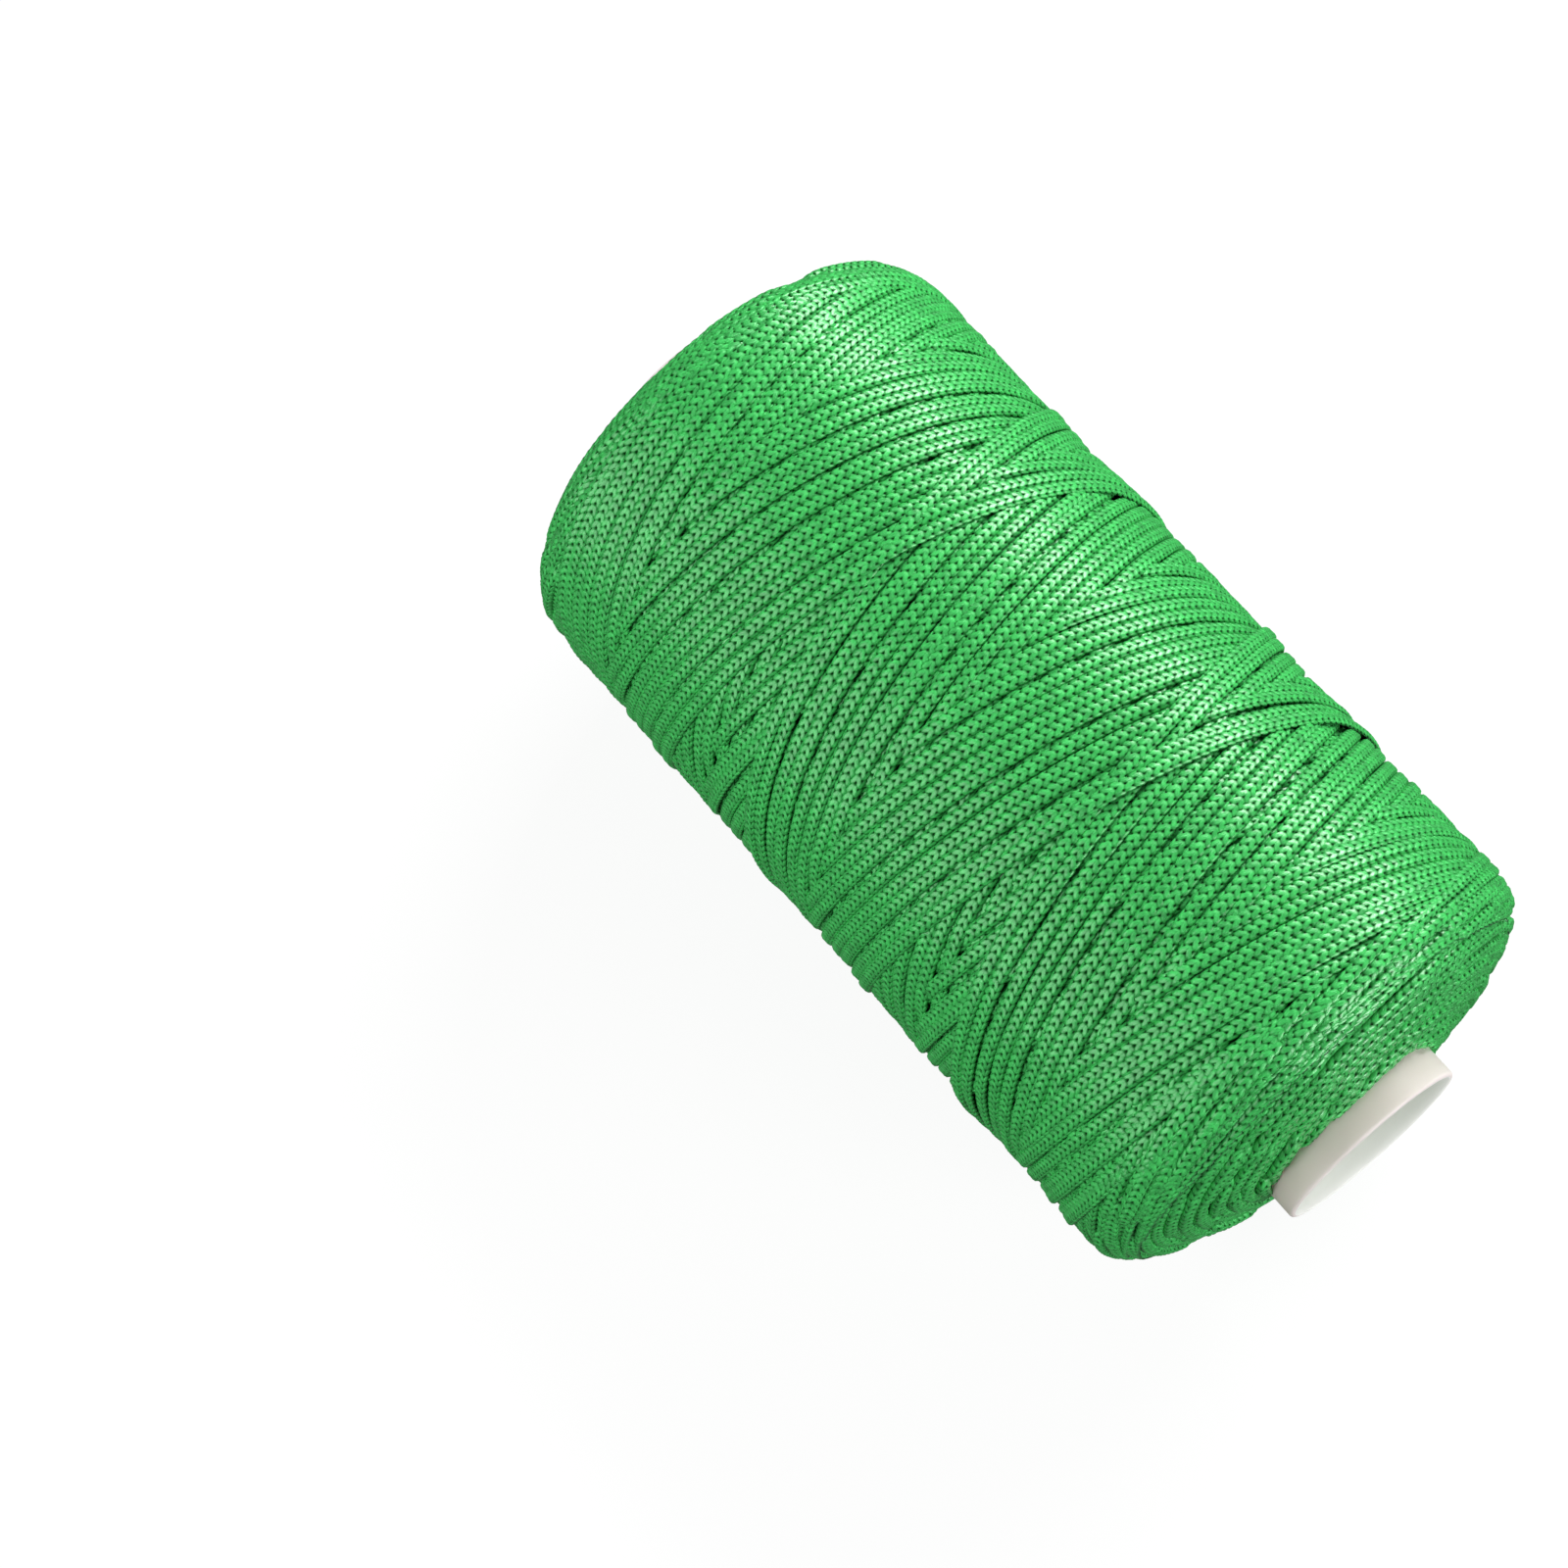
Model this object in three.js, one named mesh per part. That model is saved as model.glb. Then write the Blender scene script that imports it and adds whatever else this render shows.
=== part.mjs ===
// Spool of braided fishing line: a plastic winding tube that carries one continuous
// braided nylon line, cross-wound into a package with domed ends.
// Millimetres, +Z up. The spool lies on its side, with its axis along Y.
import * as THREE from 'three';

// Wound package
const PACKAGE_RADIUS = 43;
const PACKAGE_HALF_LENGTH = 80.4; // measured where the line meets the tube
const END_SLOPE = 0.21; // fall of the end face for each millimetre outwards
const SHOULDER_DEPTH = 12.5; // length of the rounded shoulder between end face and side
const SHOULDER_POWER = 4; // superellipse exponent of the shoulder

// Winding tube
const TUBE_HALF_LENGTH = 85;
const TUBE_OUTER_RADIUS = 16.6;
const TUBE_BORE_RADIUS = 14.6;
const RIM_CHAMFER = 0.4;

// Winding layers of the one continuous line, from the tube outwards
const LAYER_GAP = 0.3;
const LAYERS = [
  { name: 'line_anchor_turns', outerRadius: 19.4 },
  { name: 'line_inner_layers', outerRadius: 27.0 },
  { name: 'line_middle_layers', outerRadius: 34.6 },
  { name: 'line_outer_layers', outerRadius: PACKAGE_RADIUS },
];

const SIDES = 48; // facets around the axis, one of them flat on the ground
const ARC_STEPS = 5; // steps along each layer's share of the end curve

const tubePlastic = () =>
  new THREE.MeshStandardMaterial({ color: 0xc9c5c0, roughness: 0.35, metalness: 0 });
const braidedNylon = () =>
  new THREE.MeshStandardMaterial({ color: 0x3fae59, roughness: 0.55, metalness: 0 });

// A ring turned about Y. The profile runs up the outside, inwards over the top,
// down the inside and back out, and closes on itself.
function turned(name, profile, material) {
  const closed = [...profile, profile[0]];
  const geometry = new THREE.LatheGeometry(closed, SIDES, Math.PI / SIDES);
  const mesh = new THREE.Mesh(geometry, material);
  mesh.name = name;
  return mesh;
}

// Half length of the package at a radius: a sloping end face that rolls over
// into the side along a superellipse.
function halfLengthAt(radius) {
  const outward = (radius - TUBE_OUTER_RADIUS) / (PACKAGE_RADIUS - TUBE_OUTER_RADIUS);
  const roll = 1 - (1 - outward ** SHOULDER_POWER) ** (1 / SHOULDER_POWER);
  return PACKAGE_HALF_LENGTH - END_SLOPE * (radius - TUBE_OUTER_RADIUS) - SHOULDER_DEPTH * roll;
}

// Radii from the outside of a layer to its inside, closer together where the
// end curve is steep.
function radiiAcross(innerRadius, outerRadius) {
  const span = PACKAGE_RADIUS - TUBE_OUTER_RADIUS;
  const angleOf = (radius) =>
    Math.acos(((radius - TUBE_OUTER_RADIUS) / span) ** (SHOULDER_POWER / 2));
  const [start, stop] = [angleOf(outerRadius), angleOf(innerRadius)];
  return Array.from({ length: ARC_STEPS + 1 }, (_, step) => {
    const angle = start + ((stop - start) * step) / ARC_STEPS;
    return TUBE_OUTER_RADIUS + span * Math.cos(angle) ** (2 / SHOULDER_POWER);
  });
}

function windingLayer(name, innerRadius, outerRadius) {
  const radii = radiiAcross(innerRadius, outerRadius);
  const upperEnd = radii.map((radius) => new THREE.Vector2(radius, halfLengthAt(radius)));
  const lowerEnd = upperEnd.map((point) => new THREE.Vector2(point.x, -point.y)).reverse();
  return turned(name, [...upperEnd, ...lowerEnd], braidedNylon());
}

function windingTube() {
  const inner = TUBE_BORE_RADIUS;
  const outer = TUBE_OUTER_RADIUS;
  const edge = TUBE_HALF_LENGTH;
  const profile = [
    new THREE.Vector2(outer, -edge + RIM_CHAMFER),
    new THREE.Vector2(outer, edge - RIM_CHAMFER),
    new THREE.Vector2(outer - RIM_CHAMFER, edge),
    new THREE.Vector2(inner + RIM_CHAMFER, edge),
    new THREE.Vector2(inner, edge - RIM_CHAMFER),
    new THREE.Vector2(inner, -edge + RIM_CHAMFER),
    new THREE.Vector2(inner + RIM_CHAMFER, -edge),
    new THREE.Vector2(outer - RIM_CHAMFER, -edge),
  ];
  return turned('core_tube', profile, tubePlastic());
}

const spool = new THREE.Group();
spool.add(windingTube());
let innerRadius = TUBE_OUTER_RADIUS + LAYER_GAP;
for (const { name, outerRadius } of LAYERS) {
  spool.add(windingLayer(name, innerRadius, outerRadius));
  innerRadius = outerRadius + LAYER_GAP;
}
spool.position.z = PACKAGE_RADIUS * Math.cos(Math.PI / SIDES); // facet on the ground

export default spool;
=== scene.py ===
import math

import bpy
import numpy as np
from mathutils import Matrix, Vector


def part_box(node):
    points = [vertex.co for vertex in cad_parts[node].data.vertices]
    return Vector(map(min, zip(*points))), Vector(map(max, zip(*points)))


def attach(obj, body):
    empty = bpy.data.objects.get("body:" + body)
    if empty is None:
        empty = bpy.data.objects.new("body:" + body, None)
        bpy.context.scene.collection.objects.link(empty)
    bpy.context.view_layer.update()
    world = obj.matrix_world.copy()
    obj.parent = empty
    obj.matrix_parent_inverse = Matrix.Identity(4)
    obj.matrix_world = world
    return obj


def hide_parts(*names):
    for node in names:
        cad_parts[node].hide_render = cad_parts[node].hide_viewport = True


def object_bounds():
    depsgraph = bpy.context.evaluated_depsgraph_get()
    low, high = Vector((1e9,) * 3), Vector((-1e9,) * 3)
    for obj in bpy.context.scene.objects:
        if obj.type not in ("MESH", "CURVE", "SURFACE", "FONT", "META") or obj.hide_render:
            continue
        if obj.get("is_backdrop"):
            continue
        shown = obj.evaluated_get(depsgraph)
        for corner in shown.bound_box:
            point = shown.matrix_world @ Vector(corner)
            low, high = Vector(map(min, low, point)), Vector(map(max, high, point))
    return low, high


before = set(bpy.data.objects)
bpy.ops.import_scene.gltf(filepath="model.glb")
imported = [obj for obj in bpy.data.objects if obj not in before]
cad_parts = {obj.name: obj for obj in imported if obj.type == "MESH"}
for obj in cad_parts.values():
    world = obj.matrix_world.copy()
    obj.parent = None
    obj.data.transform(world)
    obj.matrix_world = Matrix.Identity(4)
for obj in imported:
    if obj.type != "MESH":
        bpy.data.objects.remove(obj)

CAD_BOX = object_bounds()

# --- Sizes, in metres, worked out from the frame --------------------------------------

line_low, line_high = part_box("line_outer_layers")
core_low, core_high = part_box("line_anchor_turns")
tube_low, tube_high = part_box("core_tube")

AXIS_HEIGHT = (line_low[2] + line_high[2]) / 2
PACKAGE_RADIUS = (line_high[0] - line_low[0]) / 2
PACKAGE_HALF = (core_high[1] - core_low[1]) / 2
TUBE_RADIUS = (tube_high[0] - tube_low[0]) / 2
TUBE_HALF = (tube_high[1] - tube_low[1]) / 2
TUBE_WALL = 0.0020
TUBE_ROUNDING = 0.0006

CORD_WIDTH = 0.00240  # flattened by the winding tension
CORD_THICKNESS = 0.00118
FLATNESS = 2.6  # power of the flattened section's outline: 2 would be an ellipse
STITCH = 0.0016  # length of one stitch of the braid
STITCH_RINGS = 4  # cross-sections along one stitch
BRAID_COLUMNS = 4  # columns of stitches on the side that shows
RELIEF = 0.00022  # depth of the braid's stitches
SECTIONS_PER_OBJECT = 6500  # about this many cross-sections of line in one object

# The braid's height, from 1 on top of a yarn: it falls towards the valleys between
# stitches and the grooves between columns, and has small holes where the two meet
ZIGZAG = 0.5  # how far a row of stitches zigzags along the line, in stitches
VALLEY_DEPTH = 0.50
GROOVE_DEPTH = 0.22
HOLE_BY_GROOVE = 0.4  # the holes begin here, from 0 mid column to 1 in the groove,
HOLE_BY_VALLEY = 0.22  # and here, in stitches from the middle of a yarn
HOLE_DEPTH = 0.7
DEEPER_IN_MIDDLE = 0.1  # more depth for the holes along the middle of the line

# Winding: the line is laid in strokes from end to end and back, and each return
# lands one line width further round.
TURNS_PER_STROKE = 3
CORDS_PER_PITCH = 20
REVERSAL_ROUNDING = 1.1  # radians over which the line turns back at an end
LAYERS_SHOWN = 2
LAYER_STEP = 0.0024  # growth in radius of one full layer
PLACING_JITTER = 0.15  # unevenness of the spacing, in line widths
WANDER = 0.06  # unevenness along a stroke, in line widths before smoothing
WANDER_LENGTH = 60  # and how long its waves are, in columns of the height map
END_SPREAD = 0.00025  # unevenness of the places where the line turns back
SHOULDER_SINK = 0.0010  # how much lower the strokes run where the arcs of the end cover them
SHOULDER_BLEND = 0.004  # distance along the axis over which they sink
DRAPE_SMOOTHING = 0.0015  # how gently the layers are pressed into the package's profile
STACKING = (0.80, 0.35)  # how proud the turns stand, on the side and by the ends
STACKING_BAND = (0.046, 0.064)  # distance along the axis over which that changes
LINE_STIFFNESS = 0.004  # how far the taut line bridges over hollows
BEARING = 0.38  # the line rests on what is this near its middle, in line widths:
BEDDING = (0.55, 0.45)  # shares of the mean height and of the highest point there
LEAN_KEPT = 0.7  # share of the lean of what is under it that the line takes on
WOUND_LEAN = 0.4  # the most it leans as wound, edge to edge, in line widths
DRAPED_LEAN = 0.6  # and once the layers are pressed into shape
REVERSAL_BULK = 0.2  # share of its thickness that the line adds where it turns back
TUCK = 0.0025  # how far each stretch that shows runs on out of sight
TAIL_ANGLE = 2.3  # the end of the line runs round the far shoulder,
TAIL_SINK = 0.003  # where it is tucked under
TAIL_TUCK = 0.3  # over this angle

# Ends: a sloping face that rolls over into the side, covered by arcs of line
END_SLOPE = 0.21
SHOULDER_DEPTH = 0.0125
SHOULDER_POWER = 4
END_CORD_WIDTH = 0.0022  # the line is rounder where it turns back
END_CORD_THICKNESS = 0.0019
END_ROW = 0.0024  # distance between rows of arcs
END_REACH = 0.31  # radians from the middle of an arc to where it dips out of sight
SHOULDER_ROWS_TO = 0.0680  # how near the middle of the tube the arcs reach
ARC_TILT = 0.0013  # how far out over the end an arc drifts from its middle to its ends
ARC_DIP = 0.0016  # how deep the ends of an arc go
ARC_LEVEL = 0.13  # radians from the middle of an arc to where it starts to dip
ARC_JITTER = 0.00028  # unevenness of the arcs, across and in height
ARC_SCATTER = 0.03  # and along themselves, in radians
ARC_CREEP = 1.004  # each row of arcs starts a little further round than the last
FAR_END_TURN = 1.3  # how far the arcs of the far end are turned from the near end's
BODY_GAP = 0.00005  # between the tube and the buried turns
BODY_BELOW = 0.0008  # how far the buried turns lie under the strokes,
BODY_BEHIND = 0.0017  # behind the end faces
BODY_INWARD = 0.0006  # and within the round shoulders

# The camera looks at the spool as the photograph does
VIEW_AZIMUTH = math.radians(-38.9)
VIEW_ELEVATION = math.radians(66.6)
FOCAL_LENGTH = 71.3
CAMERA_OFFSET = (0.861, 0.119, 11.711)  # from it to the spool, in package radii:
# along its right, its up and the way it looks
FACING = math.radians(105.2)  # angle round the axis that faces the camera

random = np.random.default_rng(7)


def half_length_at(radius):
    """Half length of the wound package at a radius."""
    outward = np.clip((radius - TUBE_RADIUS) / (PACKAGE_RADIUS - TUBE_RADIUS), 0, 1)
    roll = 1 - (1 - outward**SHOULDER_POWER) ** (1 / SHOULDER_POWER)
    return PACKAGE_HALF - END_SLOPE * (radius - TUBE_RADIUS) - SHOULDER_DEPTH * roll


def smoothed(values, sigma):
    """Gaussian smoothing, sigma in samples."""
    reach = int(3 * sigma) + 1
    x = np.arange(-reach, reach + 1)
    kernel = np.exp(-x * x / (2 * sigma * sigma))
    return np.convolve(np.pad(values, reach, mode="edge"), kernel / kernel.sum(), "valid")


# --- Winding the line -----------------------------------------------------------------


class Surface:
    """Height of the wound surface over (angle, distance along the axis)."""

    COLUMNS = 1080
    ROWS = 640
    LIMIT = 0.078

    def __init__(self, start):
        self.turn_step = 2 * math.pi / self.COLUMNS
        self.row_step = 2 * self.LIMIT / self.ROWS
        self.along = (np.arange(self.ROWS) + 0.5) * self.row_step - self.LIMIT
        self.height = np.full((self.ROWS, self.COLUMNS), start)
        self.top_stroke = np.full((self.ROWS, self.COLUMNS), -1)
        self.reach = int(CORD_WIDTH / self.row_step / 2) + 3

    def footprint(self, columns, along, cosine):
        """Cells under a stretch of line, and how far across the line each one is."""
        nearest = np.floor((along + self.LIMIT) / self.row_step).astype(int)
        rows = nearest[:, None] + np.arange(-self.reach, self.reach + 1)[None, :]
        rows = np.clip(rows, 0, self.ROWS - 1)
        across = (self.along[rows] - along[:, None]) * cosine[:, None] / CORD_WIDTH
        return rows, np.broadcast_to((columns % self.COLUMNS)[:, None], rows.shape), across


def section_top(across):
    """Height of the flattened line over its own base, from edge to edge."""
    rounded = np.maximum(1 - np.abs(2 * across) ** FLATNESS, 0)
    return CORD_THICKNESS * rounded ** (1 / FLATNESS)


def stroke_path(angle, start, stop, halves, upwards):
    """Distance along the axis on a stroke that turns back gently at both ends.

    Also gives how steep the line runs, from 0 where it turns back to 1 between."""
    reach = math.sqrt(((stop - start) / 2) ** 2 + REVERSAL_ROUNDING**2) - REVERSAL_ROUNDING
    from_end = np.maximum(np.minimum(angle - start, stop - angle), 0)
    rounded = np.sqrt(from_end**2 + REVERSAL_ROUNDING**2)
    rise = (rounded - REVERSAL_ROUNDING) / reach
    along = np.where(angle < (start + stop) / 2, (rise - 1) * halves[0], (1 - rise) * halves[1])
    return along if upwards else -along, from_end / rounded


def fit(under, across):
    """Height and lean at which a stretch of line comes to rest on what is under it."""
    inside = np.abs(across) < BEARING
    mean = (under * inside).sum(1) / inside.sum(1)
    high = np.where(inside, under, -1).max(1)
    lean = (across * (under - mean[:, None]) * inside).sum(1)
    lean = lean / np.maximum((across**2 * inside).sum(1), 1e-6)
    return BEDDING[0] * mean + BEDDING[1] * high, lean


def wind_line():
    """Lays the last layers of line on the package, stroke by stroke."""
    strokes = 2 * CORDS_PER_PITCH * LAYERS_SHOWN + 2
    gain = 2 * math.pi / CORDS_PER_PITCH
    reversals = np.arange(strokes + 1) * (TURNS_PER_STROKE * 2 * math.pi + gain / 2)
    reversals = reversals + random.normal(0, PLACING_JITTER * gain, strokes + 1)
    reversals -= reversals[-2] + 0.05  # the newest near reversal lies on the side that shows
    age = (strokes - np.arange(strokes + 1)) / (2 * CORDS_PER_PITCH)
    radius = PACKAGE_RADIUS - LAYER_STEP * (age + 0.5)
    halves = half_length_at(radius) - CORD_WIDTH / 2 + random.normal(0, END_SPREAD, strokes + 1)
    surface = Surface(PACKAGE_RADIUS - LAYERS_SHOWN * LAYER_STEP)
    bridging = LINE_STIFFNESS / (PACKAGE_RADIUS * surface.turn_step)
    pieces = []
    for stroke in range(strokes):
        start, stop = reversals[stroke], reversals[stroke + 1]
        tail = TAIL_ANGLE if stroke == strokes - 1 else 0
        columns = np.arange(
            math.ceil(start / surface.turn_step), math.ceil((stop + tail) / surface.turn_step)
        )
        angle = columns * surface.turn_step
        along, steep = stroke_path(angle, start, stop, halves[stroke : stroke + 2], stroke % 2 == 0)
        slope = np.gradient(along) / (PACKAGE_RADIUS * surface.turn_step)
        cosine = 1 / np.sqrt(1 + slope**2)
        wander = smoothed(random.normal(0, WANDER, len(angle)), WANDER_LENGTH)
        along = along + wander * CORD_WIDTH * steep

        rows, cells, across = surface.footprint(columns, along, cosine)
        support, lean = fit(surface.height[rows, cells], across)
        support = smoothed(support, bridging)
        most = WOUND_LEAN * CORD_WIDTH
        lean = np.clip(LEAN_KEPT * smoothed(lean, bridging), -most, most)
        if tail:
            support -= TAIL_SINK * np.clip((angle - stop - tail) / TAIL_TUCK + 1, 0, 1) ** 2
        pressed = np.maximum(steep, REVERSAL_BULK)[:, None]
        top = support[:, None] + lean[:, None] * across + section_top(across) * pressed
        over = (np.abs(across) < 0.5) & (top > surface.height[rows, cells])
        surface.height[rows[over], cells[over]] = top[over]
        surface.top_stroke[rows[over], cells[over]] = stroke
        pieces.append([columns, angle, along, support, lean, np.full(len(angle), stroke)])
    return surface, *(np.concatenate(column) for column in zip(*pieces))


def drape(surface, along, support, lean):
    """Presses the wound layers into the package's rounded profile."""
    radii = np.linspace(TUBE_RADIUS, PACKAGE_RADIUS, 2000)
    wanted = np.interp(-np.abs(surface.along), -half_length_at(radii), radii)
    beyond = np.clip((np.abs(surface.along) - SHOULDER_ROWS_TO) / SHOULDER_BLEND + 0.5, 0, 1)
    wanted -= SHOULDER_SINK * beyond  # there the arcs of the end lie on top
    level = np.percentile(surface.height, 80, axis=1)
    change = smoothed(wanted - level, DRAPE_SMOOTHING / surface.row_step)
    slope = np.gradient(change, surface.row_step)
    support = support + np.interp(along, surface.along, change)
    settled = np.interp(along, surface.along, wanted) - CORD_THICKNESS
    proud = np.interp(np.abs(along), STACKING_BAND, STACKING)
    support = settled + proud * (support - settled)
    lean = proud * lean + np.interp(along, surface.along, slope) * CORD_WIDTH
    most = DRAPED_LEAN * CORD_WIDTH
    return support, np.clip(lean, -most, most)


def shown_stretches(surface, columns, along, owner):
    """Marks the stretches of line that aren't buried, and a little beyond."""
    slope = np.gradient(along) / (PACKAGE_RADIUS * surface.turn_step)
    cosine = 1 / np.sqrt(1 + slope**2)
    rows, cells, across = surface.footprint(columns, along, cosine)
    seen = (surface.top_stroke[rows, cells] == owner[:, None]) & (np.abs(across) < 0.5)
    shown = (seen.sum(1) >= 2).astype(float)
    tuck = int(TUCK / (PACKAGE_RADIUS * surface.turn_step))
    return np.convolve(shown, np.ones(2 * tuck + 1), "same") > 0.5


# --- Line geometry --------------------------------------------------------------------


def section_outline(width, thickness):
    """Points over the top of the flattened line from edge to edge, and one underneath."""
    half_x = np.array([0.57, 0.53, 0.43, 0.22])
    half_y = np.array([-0.70, 0.10, 0.80, 0.97])
    x = np.r_[half_x, 0, -half_x[::-1], 0]
    y = np.r_[half_y, 1, half_y[::-1], -1]
    return x * width, y * thickness / 2


def stitch_height(column, phase):
    """Height of the braid: rows of yarn that zigzag over the line, with small holes."""
    zigzag = 1 - 2 * np.abs(column % 2 - 1)
    away = np.abs((phase - ZIGZAG / 2 * zigzag + 0.5) % 1 - 0.5)
    yarn = 1 - VALLEY_DEPTH * (2 * away) ** 3 - GROOVE_DEPTH * np.abs(zigzag) ** 3
    middle = np.exp(-((column - BRAID_COLUMNS / 2) ** 2))
    groove = np.maximum(np.abs(zigzag) - HOLE_BY_GROOVE, 0) / (1 - HOLE_BY_GROOVE)
    valley = np.maximum(away - HOLE_BY_VALLEY, 0) / (0.5 - HOLE_BY_VALLEY)
    return yarn - (HOLE_DEPTH + DEEPER_IN_MIDDLE * middle) * groove * valley


def line_mesh(name, centre, side, up, distance, run, width, thickness, material):
    """One closed body for each run of cross-sections along the line."""
    x, y = section_outline(width, thickness)
    points = len(x)
    column = np.linspace(0, BRAID_COLUMNS, points - 1)
    relief = stitch_height(column[None], distance[:, None] / STITCH)
    swell = np.ones((len(centre), points))
    swell[:, :-1] += (relief - 1) * RELIEF / (thickness / 2)
    vertices = (
        centre[:, None, :]
        + (x[None] * (0.5 + 0.5 * swell))[:, :, None] * side[:, None, :]
        + (y[None] * swell)[:, :, None] * up[:, None, :]
    )
    vertices[:, :, 2] = np.maximum(vertices[:, :, 2], 0.00002)  # it rests on the floor

    joined = np.flatnonzero(run[1:] == run[:-1])
    here = (joined[:, None] * points + np.arange(points)[None]).ravel()
    right = (joined[:, None] * points + (np.arange(points)[None] + 1) % points).ravel()
    quads = np.stack([here, right, right + points, here + points], axis=1)
    starts = np.flatnonzero(np.r_[True, run[1:] != run[:-1]])
    ends = np.flatnonzero(np.r_[run[1:] != run[:-1], True])
    ring = np.arange(points)
    front = starts[:, None] * points + ring[None, ::-1]
    back = ends[:, None] * points + ring[None]

    u = np.append(column / (2 * BRAID_COLUMNS), 0.75)
    quad_u = np.stack([u, np.append(u[1:], 1.0), np.append(u[1:], 1.0), u], axis=1)
    quad_u = np.tile(quad_u, (len(joined), 1))
    v = distance / STITCH
    v0, v1 = np.repeat(v[joined], points), np.repeat(v[joined + 1], points)
    quad_uv = np.stack([quad_u, np.stack([v0, v0, v1, v1], axis=1)], axis=2)
    cap_u = np.broadcast_to(u, front.shape)
    front_uv = np.stack([cap_u[:, ::-1], np.repeat(v[starts], points).reshape(-1, points)], axis=2)
    back_uv = np.stack([cap_u, np.repeat(v[ends], points).reshape(-1, points)], axis=2)

    corners = np.concatenate([quads.ravel(), front.ravel(), back.ravel()])
    sizes = np.r_[np.full(len(quads), 4), np.full(len(front) + len(back), points)]
    uv = np.concatenate([quad_uv.reshape(-1, 2), front_uv.reshape(-1, 2), back_uv.reshape(-1, 2)])
    return add_mesh(name, vertices.reshape(-1, 3), corners, sizes, material, uv)


def link(name, data):
    thing = bpy.data.objects.new(name, data)
    bpy.context.scene.collection.objects.link(thing)
    return thing


def add_mesh(name, vertices, corners, sizes, material, uv=None):
    """A smooth object from points, and faces given as one list of corners and their sizes."""
    mesh = bpy.data.meshes.new(name)
    mesh.vertices.add(len(vertices))
    mesh.vertices.foreach_set("co", vertices.astype(np.float32).ravel())
    mesh.loops.add(len(corners))
    mesh.loops.foreach_set("vertex_index", corners.astype(np.int32))
    mesh.polygons.add(len(sizes))
    mesh.polygons.foreach_set("loop_start", np.r_[0, np.cumsum(sizes)[:-1]].astype(np.int32))
    if uv is not None:
        layer = mesh.uv_layers.new(name="braid")
        layer.data.foreach_set("uv", uv.astype(np.float32).ravel())
    mesh.update(calc_edges=True)
    mesh.validate()
    mesh.polygons.foreach_set("use_smooth", np.ones(len(mesh.polygons), bool))
    mesh.materials.append(material)
    return link(name, mesh)


def on_package(radius, angle, along):
    """Points in the shared frame from cylinder coordinates about the tube's axis."""
    radius, angle, along = np.broadcast_arrays(radius, angle + FACING, along)
    return np.stack(
        [radius * np.cos(angle), -along, AXIS_HEIGHT + radius * np.sin(angle)], axis=-1
    )


def unit(vectors):
    return vectors / np.linalg.norm(vectors, axis=-1, keepdims=True)


def wound_path():
    """The wound line at even steps along its length, and which steps show."""
    surface, columns, angle, along, support, lean, owner = wind_line()
    shown = shown_stretches(surface, columns, along, owner)
    support, lean = drape(surface, along, support, lean)
    radius = smoothed(support, 3) + CORD_THICKNESS / 2
    lean = smoothed(lean, 3)
    centre = on_package(radius, angle, along)
    walked = np.r_[0, np.cumsum(np.linalg.norm(np.diff(centre, axis=0), axis=1))]
    distance = np.arange(0, walked[-1], STITCH / STITCH_RINGS)
    path = [np.interp(distance, walked, values) for values in (radius, angle, along, lean)]
    return distance, path, np.interp(distance, walked, shown.astype(float)) > 0.5


def side_turns(material):
    """The strokes of line that show on the side of the package."""
    distance, (radius, angle, along, lean), keep = wound_path()
    centre = on_package(radius, angle, along)
    tangent = unit(np.gradient(centre, axis=0))
    outward = unit(on_package(radius + 1, angle, along) - centre)
    side = unit(np.cross(outward, tangent))
    side = unit(side - outward * (lean / CORD_WIDTH)[:, None])
    up = np.cross(tangent, side)

    run = np.cumsum(np.r_[True, ~keep[:-1] & keep[1:]])
    keep &= np.bincount(run[keep], minlength=run.max() + 1)[run] >= 6
    centre, side, up, distance, run = (part[keep] for part in (centre, side, up, distance, run))

    breaks = np.flatnonzero(np.r_[True, run[1:] != run[:-1]])
    group = breaks // SECTIONS_PER_OBJECT
    limits = [*breaks[np.flatnonzero(np.r_[True, group[1:] != group[:-1]])], len(run)]
    return [
        line_mesh(
            f"line_turns_{number:02d}", centre[first:last], side[first:last], up[first:last],
            distance[first:last], run[first:last], CORD_WIDTH, CORD_THICKNESS, material,
        )
        for number, (first, last) in enumerate(zip(limits, limits[1:]), 1)
    ]


# --- Ends of the package --------------------------------------------------------------


def end_profile():
    """Radius and half length at even distances out over the end face and shoulder."""
    radii = np.sin(np.linspace(0, math.pi / 2, 4000)) * (PACKAGE_RADIUS - TUBE_RADIUS)
    radii = radii + TUBE_RADIUS
    ends = half_length_at(radii)
    walked = np.r_[0, np.cumsum(np.hypot(np.diff(radii), np.diff(ends)))]
    return walked, radii, ends


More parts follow.
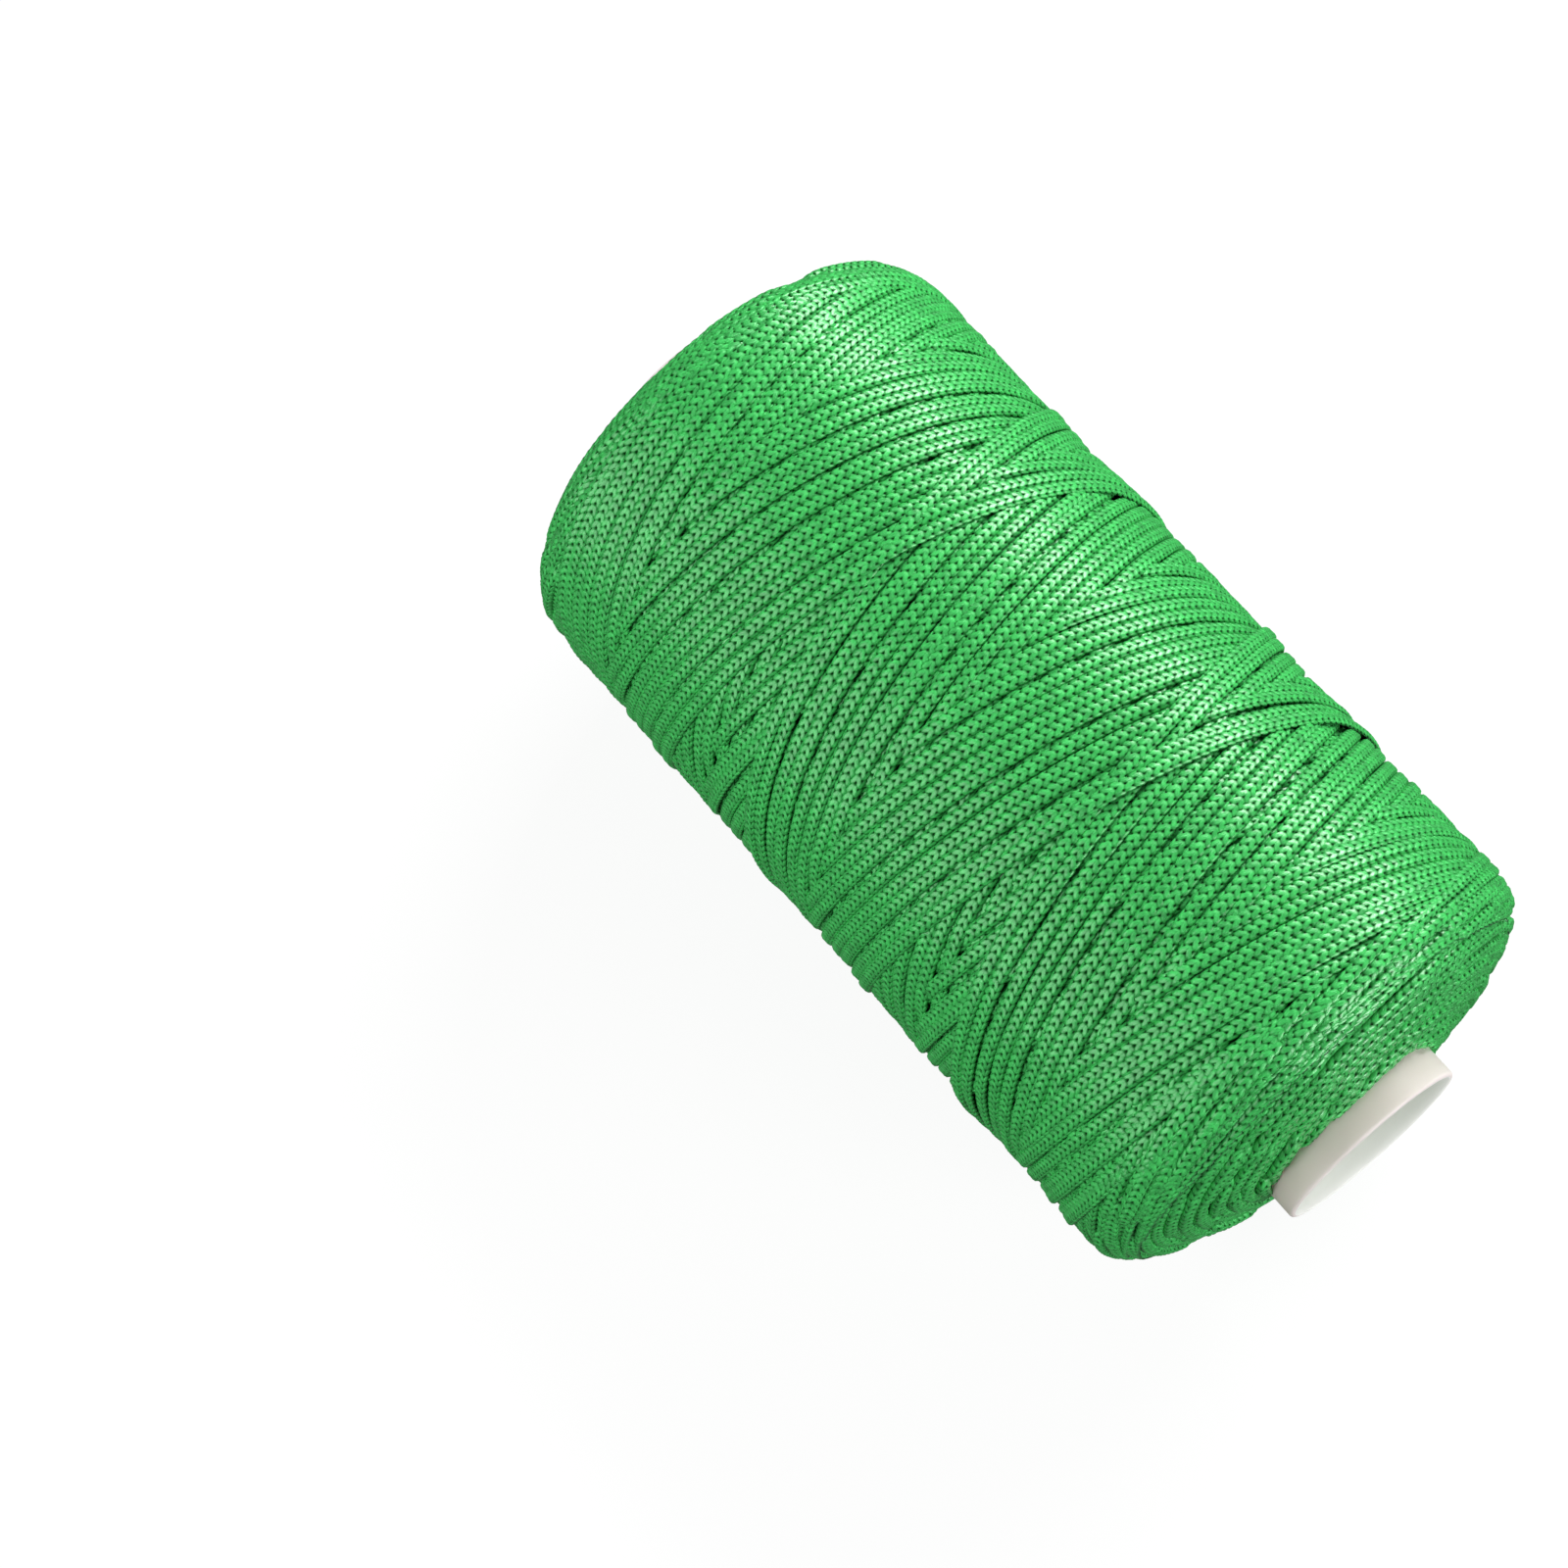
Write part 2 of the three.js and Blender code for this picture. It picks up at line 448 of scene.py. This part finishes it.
def end_arc(end, profile, ring, middle, lift):
    """One arc across an end: its centre line and the directions beside and above it.

    end is +1 or -1 along the tube; ring is the distance out over the end's profile."""
    walked, radii, ends = profile
    step = STITCH / STITCH_RINGS
    swing = np.arange(-END_REACH, END_REACH, step / np.interp(ring, walked, radii))
    out = np.maximum(ring - ARC_TILT * np.sin(swing / END_REACH * 1.5), 0.0003)
    radius, along = (np.interp(out, walked, values) for values in (radii, ends))
    radial_part, axial_part = (
        np.interp(out + 1e-4, walked, values) - np.interp(out - 1e-4, walked, values)
        for values in (radii, ends)
    )
    centre = on_package(radius, middle + swing, -end * along)
    radial = unit(on_package(radius + 1, middle + swing, -end * along) - centre)
    axial = np.array([0, end, 0])
    outward = unit(axial * radial_part[:, None] - radial * axial_part[:, None])
    dip = ARC_DIP * np.clip((np.abs(swing) - ARC_LEVEL) / (END_REACH - ARC_LEVEL), 0, 1) ** 2
    centre = centre - outward * (END_CORD_THICKNESS / 2 + dip - lift)[:, None]
    tangent = unit(np.gradient(centre, axis=0))
    side = unit(np.cross(outward, tangent))
    return centre, side, np.cross(tangent, side)


def end_turns(name, end, material):
    """The arcs of line that show on an end, where each layer turns back."""
    profile = end_profile()
    walked, radii, ends = profile
    first = END_CORD_WIDTH * 0.5
    last = np.interp(-SHOULDER_ROWS_TO, -ends, walked)
    arcs = int((last - first) / END_ROW * CORDS_PER_PITCH)
    gain = 2 * math.pi / CORDS_PER_PITCH
    number = np.arange(arcs)
    middle = number * gain * ARC_CREEP + random.normal(0, ARC_SCATTER, arcs)
    middle += FAR_END_TURN if end > 0 else 0
    ring = first + END_ROW * number / CORDS_PER_PITCH + random.normal(0, ARC_JITTER, arcs)
    lift = random.normal(0, ARC_JITTER, arcs)
    pieces = []
    line_so_far = 0
    for half in range(2):
        collected = []
        for arc in range(half * arcs // 2, (half + 1) * arcs // 2):
            centre, side, up = end_arc(end, profile, ring[arc], middle[arc], lift[arc])
            distance = (line_so_far + np.arange(len(centre))) * STITCH / STITCH_RINGS
            line_so_far += len(centre)
            collected.append([centre, side, up, distance, np.full(len(centre), arc)])
        parts = (np.concatenate(part) for part in zip(*collected))
        pieces.append(
            line_mesh(f"{name}_{half + 1}", *parts, END_CORD_WIDTH, END_CORD_THICKNESS, material)
        )
    return pieces


def turned(name, profile, material, segments=160):
    """A closed ring about the tube's axis, from (radius, distance along) points."""
    profile = np.array(profile)
    count = len(profile)
    angle = np.arange(segments) * 2 * math.pi / segments
    vertices = on_package(profile[None, :, 0], angle[:, None], profile[None, :, 1])
    here = (np.arange(segments)[:, None] * count + np.arange(count)[None]).ravel()
    beside = (np.arange(segments)[:, None] * count + (np.arange(count)[None] + 1) % count).ravel()
    total = segments * count
    quads = np.stack([here, beside, (beside + count) % total, (here + count) % total], axis=1)
    return add_mesh(
        name, vertices.reshape(-1, 3), quads.ravel(), np.full(len(quads), 4), material
    )


def wound_body(material):
    """The buried turns under the line that shows."""
    inner = TUBE_RADIUS + BODY_GAP
    outer = PACKAGE_RADIUS - LAYERS_SHOWN * LAYER_STEP - BODY_BELOW
    radii = np.linspace(inner, outer, 24)
    ends = half_length_at(radii + BODY_INWARD) - BODY_BEHIND
    profile = [(r, t) for r, t in zip(radii, ends)] + [(r, -t) for r, t in zip(radii, ends)][::-1]
    return turned("wound_body", profile, material)


def winding_tube(material):
    """The tube, with rounded rims and mouths that flare a little."""
    outer, inner, half = TUBE_RADIUS, TUBE_RADIUS - TUBE_WALL, TUBE_HALF
    rounding = TUBE_ROUNDING
    arc = np.radians(np.linspace(0, 90, 7))
    rim = [
        (outer - rounding + rounding * math.cos(a), half - rounding + rounding * math.sin(a))
        for a in arc
    ]
    flare = [(0.00118, 0.0), (0.00105, 0.0002), (0.0008, 0.0012), (0.0004, 0.0032), (0.0, 0.0065)]
    rim += [(inner + wider, half - deep) for wider, deep in flare]
    profile = rim + [(r, -t) for r, t in reversed(rim)]
    return turned("winding_tube", profile[::-1], material)


# --- Materials ------------------------------------------------------------------------


class Nodes:
    """Small helper that adds nodes to a material and links them."""

    def __init__(self, name):
        self.material = bpy.data.materials.new(name)
        self.material.use_nodes = True
        self.tree = self.material.node_tree
        self.shader = self.tree.nodes["Principled BSDF"]

    def add(self, kind, **settings):
        node = self.tree.nodes.new(kind)
        for key, value in settings.items():
            setattr(node, key, value)
        return node

    def link(self, output, socket):
        self.tree.links.new(output, socket)

    def maths(self, operation, *values, clamp=False):
        """A maths node whose inputs are numbers or other nodes' outputs."""
        node = self.add("ShaderNodeMath", operation=operation, use_clamp=clamp)
        for socket, value in zip(node.inputs, values):
            if isinstance(value, (int, float)):
                socket.default_value = value
            else:
                self.link(value, socket)
        return node.outputs[0]

    def ramp(self, value, *stops):
        """A colour ramp from (position, colour) stops."""
        node = self.add("ShaderNodeValToRGB")
        while len(node.color_ramp.elements) < len(stops):
            node.color_ramp.elements.new(0.5)
        for element, (position, colour) in zip(node.color_ramp.elements, stops):
            element.position = position
            element.color = (*colour, 1)
        self.link(value, node.inputs["Fac"])
        return node.outputs["Color"]

    def blend(self, factor, first, second):
        """Mixes two colours, each an output or a fixed colour."""
        node = self.add("ShaderNodeMix", data_type="RGBA")
        for index, value in ((0, factor), (6, first), (7, second)):
            if isinstance(value, tuple):
                node.inputs[index].default_value = value
            else:
                self.link(value, node.inputs[index])
        return node.outputs[2]

    def set(self, **values):
        """Sets the shader's own sockets by name, with _ for each space."""
        for key, value in values.items():
            self.shader.inputs[key.replace("_", " ")].default_value = value


def stitch_nodes(nodes):
    """The braid's height, the same rule as stitch_height, from the line's own UV map.

    Also how far a point is from the middle of its yarn, and from the line's edge."""
    where = nodes.add("ShaderNodeUVMap", uv_map="braid")
    split = nodes.add("ShaderNodeSeparateXYZ")
    nodes.link(where.outputs["UV"], split.inputs[0])
    column = nodes.maths("MULTIPLY", split.outputs["X"], 2 * BRAID_COLUMNS)
    folded = nodes.maths("SUBTRACT", nodes.maths("FLOORED_MODULO", column, 2.0), 1.0)
    zigzag = nodes.maths("MULTIPLY_ADD", nodes.maths("ABSOLUTE", folded), -2.0, 1.0)
    phase = nodes.maths("MULTIPLY_ADD", zigzag, -ZIGZAG / 2, split.outputs["Y"])
    shifted = nodes.maths("FLOORED_MODULO", nodes.maths("ADD", phase, 0.5), 1.0)
    away = nodes.maths("SUBTRACT", shifted, 0.5)
    doubled = nodes.maths("MULTIPLY", nodes.maths("ABSOLUTE", away), 2.0)
    yarn = nodes.maths("MULTIPLY_ADD", nodes.maths("POWER", doubled, 3.0), -VALLEY_DEPTH, 1.0)
    groove = nodes.maths("POWER", nodes.maths("ABSOLUTE", zigzag), 3.0)
    yarn = nodes.maths("ADD", yarn, nodes.maths("MULTIPLY", groove, -GROOVE_DEPTH))
    from_middle = nodes.maths("SUBTRACT", column, BRAID_COLUMNS / 2)
    middle = nodes.maths("MULTIPLY", nodes.maths("MULTIPLY", from_middle, from_middle), -1.0)
    middle = nodes.maths("EXPONENT", middle)
    strength = nodes.maths("MULTIPLY_ADD", middle, DEEPER_IN_MIDDLE, HOLE_DEPTH)
    edge = nodes.maths("SUBTRACT", nodes.maths("ABSOLUTE", zigzag), HOLE_BY_GROOVE)
    edge = nodes.maths("MULTIPLY", nodes.maths("MAXIMUM", edge, 0.0), 1 / (1 - HOLE_BY_GROOVE))
    valley = nodes.maths("SUBTRACT", nodes.maths("ABSOLUTE", away), HOLE_BY_VALLEY)
    valley = nodes.maths("MAXIMUM", valley, 0.0)
    valley = nodes.maths("MULTIPLY", valley, 1 / (0.5 - HOLE_BY_VALLEY))
    hole = nodes.maths("MULTIPLY", nodes.maths("MULTIPLY", edge, valley), strength)
    from_edge = nodes.maths("MINIMUM", column, nodes.maths("SUBTRACT", BRAID_COLUMNS, column))
    return nodes.maths("SUBTRACT", yarn, hole), away, from_edge


def braided_nylon():
    """Green yarns, glossy on top, with painted shade darkening them down their sides, in the holes
    and towards the line's edges.
    """
    nodes = Nodes("braided_nylon")
    height, away, from_edge = stitch_nodes(nodes)
    # painted shade: the ramp darkens the yarn's green to near black down into the valleys and
    # holes, where shade falls
    shade = nodes.ramp(
        nodes.maths("MULTIPLY_ADD", height, 1 / 1.5, 1 / 3),
        (0.10, (0.0, 0.010, 0.0)),
        (0.38, (0.0, 0.050, 0.002)),
        (0.64, (0.012, 0.27, 0.034)),
        (0.95, (0.056, 0.55, 0.115)),
    )
    place = nodes.add("ShaderNodeTexCoord")
    patch = nodes.add("ShaderNodeTexNoise")
    patch.inputs["Scale"].default_value = 700.0
    patch.inputs["Detail"].default_value = 5.0
    nodes.link(place.outputs["Object"], patch.inputs["Vector"])
    tint = nodes.add("ShaderNodeHueSaturation")
    value = nodes.maths("MULTIPLY_ADD", patch.outputs["Fac"], 1.5, 0.25)
    # painted shade: darker towards the line's edges, which show in the slits between lines; the
    # noise before it is random tone
    painted_edge_shade = nodes.maths("MULTIPLY_ADD", from_edge, 1.6, 0.08, clamp=True)
    value = nodes.maths("MULTIPLY", value, painted_edge_shade)
    nodes.link(value, tint.inputs["Value"])
    nodes.link(shade, tint.inputs["Color"])
    nodes.link(tint.outputs["Color"], nodes.shader.inputs["Base Color"])

    strands = nodes.maths("SINE", nodes.maths("MULTIPLY", away, 40.0))
    relief = nodes.maths("ADD", height, nodes.maths("MULTIPLY", strands, 0.06))
    relief = nodes.maths("ADD", relief, nodes.maths("MULTIPLY", patch.outputs["Fac"], 0.4))
    bump = nodes.add("ShaderNodeBump")
    bump.inputs["Strength"].default_value = 1.0
    bump.inputs["Distance"].default_value = 0.00022
    nodes.link(relief, bump.inputs["Height"])
    nodes.link(bump.outputs["Normal"], nodes.shader.inputs["Normal"])
    rough = nodes.maths("MULTIPLY_ADD", height, -0.72, 0.96)
    nodes.link(rough, nodes.shader.inputs["Roughness"])
    gloss = nodes.maths("MULTIPLY_ADD", height, 1.7, -0.85, clamp=True)
    nodes.link(gloss, nodes.shader.inputs["Coat Weight"])
    nodes.set(Specular_IOR_Level=0.7, Coat_Roughness=0.26)
    nodes.shader.inputs["Specular Tint"].default_value = (0.36, 1.0, 0.50, 1)
    return nodes.material


def buried_nylon_in_painted_shade():
    """What is glimpsed between the lines that show: the turns below, coloured dark as painted
    shade.
    """
    nodes = Nodes("buried_nylon_in_painted_shade")
    place = nodes.add("ShaderNodeTexCoord")
    grain = nodes.add("ShaderNodeTexNoise")
    grain.inputs["Scale"].default_value = 600.0
    nodes.link(place.outputs["Object"], grain.inputs["Vector"])
    # painted shade: the same green nylon, coloured far darker than the line on top
    colour = nodes.ramp(
        grain.outputs["Fac"], (0.3, (0.004, 0.07, 0.010)), (0.7, (0.012, 0.15, 0.026))
    )
    nodes.link(colour, nodes.shader.inputs["Base Color"])
    bump = nodes.add("ShaderNodeBump")
    bump.inputs["Distance"].default_value = 0.0004
    nodes.link(grain.outputs["Fac"], bump.inputs["Height"])
    nodes.link(bump.outputs["Normal"], nodes.shader.inputs["Normal"])
    nodes.set(Roughness=0.8)
    return nodes.material


def milky_plastic():
    """Translucent plastic, with painted light inside: the green line behind the wall is painted
    into the bore's colour, and the bore glows a little for light through the wall.
    """
    nodes = Nodes("milky_plastic")
    place = nodes.add("ShaderNodeTexCoord")
    split = nodes.add("ShaderNodeSeparateXYZ")
    nodes.link(place.outputs["Object"], split.inputs[0])
    inward = nodes.maths("SUBTRACT", TUBE_HALF, nodes.maths("ABSOLUTE", split.outputs["Y"]))
    # 0 where the tube sticks out of the package, 1 from about 23 mm in
    covered = nodes.maths("MULTIPLY_ADD", inward, 55.0, -0.25, clamp=True)
    rise = nodes.maths("SUBTRACT", split.outputs["Z"], AXIS_HEIGHT)
    squares = [nodes.maths("MULTIPLY", v, v) for v in (split.outputs["X"], rise)]
    radius = nodes.maths("SQRT", nodes.maths("ADD", *squares))
    # 0 in the bore, 1 on the outside, changing over 0.2 mm within the wall
    outside = nodes.maths(
        "MULTIPLY_ADD", radius, 1 / 0.0002, -(TUBE_RADIUS - 0.0008) / 0.0002, clamp=True
    )
    cloud = nodes.add("ShaderNodeTexNoise")
    cloud.inputs["Scale"].default_value = 90.0
    cloud.inputs["Detail"].default_value = 4.0
    nodes.link(place.outputs["Object"], cloud.inputs["Vector"])
    # painted light: the bore's colours, pale grey near the mouths and green where the line covers
    # the tube, stand in for light through the wall and also feed the painted glow; the last pair is
    # the plastic's own colour outside
    shades = [
        nodes.ramp(cloud.outputs["Fac"], (0.3, low), (0.7, high))
        for low, high in (
            ((0.78, 0.78, 0.75), (0.82, 0.82, 0.79)),
            ((0.13, 0.33, 0.12), (0.18, 0.40, 0.16)),
            ((0.84, 0.735, 0.705), (0.88, 0.775, 0.745)),
        )
    ]
    inside = nodes.blend(covered, shades[0], shades[1])
    painted_glow = nodes.blend(outside, inside, (0, 0, 0, 1))  # painted light: an emission standing in for light that comes through the wall
    nodes.link(painted_glow, nodes.shader.inputs["Emission Color"])
    nodes.link(nodes.blend(outside, inside, shades[2]), nodes.shader.inputs["Base Color"])
    rough = nodes.maths("MULTIPLY_ADD", cloud.outputs["Fac"], 0.2, 0.45)
    nodes.link(rough, nodes.shader.inputs["Roughness"])
    bump = nodes.add("ShaderNodeBump")
    bump.inputs["Distance"].default_value = 0.00006
    nodes.link(cloud.outputs["Fac"], bump.inputs["Height"])
    nodes.link(bump.outputs["Normal"], nodes.shader.inputs["Normal"])
    nodes.set(Subsurface_Weight=0.6, Subsurface_Radius=(1, 1, 1), Subsurface_Scale=0.002)
    # Emission_Strength sets how bright the painted glow in the bore is
    nodes.set(Specular_IOR_Level=0.5, Emission_Strength=0.25)
    return nodes.material


def studio_floor():
    nodes = Nodes("studio_floor")
    nodes.shader.inputs["Base Color"].default_value = (0.13, 0.13, 0.13, 1)
    nodes.shader.inputs["Emission Color"].default_value = (1, 1, 1, 1)
    nodes.set(Roughness=0.9, Specular_IOR_Level=0.1, Emission_Strength=0.89)
    return nodes.material


# --- Studio ---------------------------------------------------------------------------


def camera():
    """Stands where the photograph's camera stood, relative to the upright spool."""
    ahead = Vector((-math.sin(VIEW_AZIMUTH), math.cos(VIEW_AZIMUTH), 0))
    right = Vector((math.cos(VIEW_AZIMUTH), math.sin(VIEW_AZIMUTH), 0))
    down = math.sin(VIEW_ELEVATION)
    flat = math.cos(VIEW_ELEVATION)
    looking = ahead * flat - Vector((0, 0, down))
    upward = ahead * down + Vector((0, 0, flat))
    offset = Matrix((right, upward, looking)).transposed() @ Vector(CAMERA_OFFSET)
    place = Vector((0, 0, AXIS_HEIGHT)) - offset * PACKAGE_RADIUS
    data = bpy.data.cameras.new("camera")
    data.lens = FOCAL_LENGTH
    data.sensor_width = 36
    data.clip_start = 0.01
    turn = Matrix((right, upward, -looking)).transposed()
    eye = link("camera", data)
    eye.matrix_world = Matrix.Translation(place) @ turn.to_4x4()
    bpy.context.scene.camera = eye


def softbox(name, towards, distance, size, power):
    """An area light in the direction towards, pointed back at the spool."""
    data = bpy.data.lights.new(name, "AREA")
    data.shape = "RECTANGLE"
    data.size, data.size_y = size
    data.energy = power
    direction = Vector(towards).normalized()
    lamp = link(name, data)
    lamp.location = Vector((0, 0, AXIS_HEIGHT)) + direction * distance
    lamp.rotation_euler = direction.to_track_quat("Z", "Y").to_euler()


def backdrop():
    """A world that is bright behind the spool but adds little light to it."""
    world = bpy.data.worlds.new("studio")
    world.use_nodes = True
    background = world.node_tree.nodes["Background"]
    background.inputs["Color"].default_value = (1, 1, 1, 1)
    path = world.node_tree.nodes.new("ShaderNodeLightPath")
    level = world.node_tree.nodes.new("ShaderNodeMath")
    level.operation = "MULTIPLY_ADD"
    level.inputs[1].default_value = 0.82
    level.inputs[2].default_value = 0.08
    world.node_tree.links.new(path.outputs["Is Camera Ray"], level.inputs[0])
    world.node_tree.links.new(level.outputs[0], background.inputs["Strength"])
    bpy.context.scene.world = world


def studio():
    backdrop()
    bpy.context.scene.view_settings.view_transform = "Standard"
    softbox("key", (0.72, 0.25, 0.61), 0.50, (0.45, 0.08), 3.4)
    softbox("fill", (-0.90, 0.20, 0.42), 0.50, (0.50, 0.60), 2.6)
    softbox("front", (0.25, -0.93, 0.20), 0.60, (0.30, 0.30), 2.6)
    floor = pale_floor()
    floor.visible_diffuse = False
    floor.visible_glossy = False
    floor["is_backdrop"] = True


def pale_floor():
    reach = 6.0
    mesh = bpy.data.meshes.new("floor")
    corners = [(-reach, -reach, 0), (reach, -reach, 0), (reach, reach, 0), (-reach, reach, 0)]
    mesh.from_pydata(corners, [], [(0, 1, 2, 3)])
    mesh.materials.append(studio_floor())
    return link("floor", mesh)


# --- Assembly -------------------------------------------------------------------------

camera()
nylon = braided_nylon()
turns = side_turns(nylon)
ends = end_turns("line_end_near", -1, nylon) + end_turns("line_end_far", 1, nylon)
body = wound_body(buried_nylon_in_painted_shade())
tube = winding_tube(milky_plastic())

for piece in [*turns, *ends, body]:
    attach(piece, "root")
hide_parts("line_anchor_turns", "line_inner_layers", "line_middle_layers")
for piece in turns:
    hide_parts("line_outer_layers")
for piece in ends:
    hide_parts("line_inner_layers", "line_middle_layers")
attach(tube, "root")
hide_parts("core_tube")
studio()

sizes = {"cad": CAD_BOX, "visual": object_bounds()}
sizes = {key: [list(map(float, corner)) for corner in box] for key, box in sizes.items()}
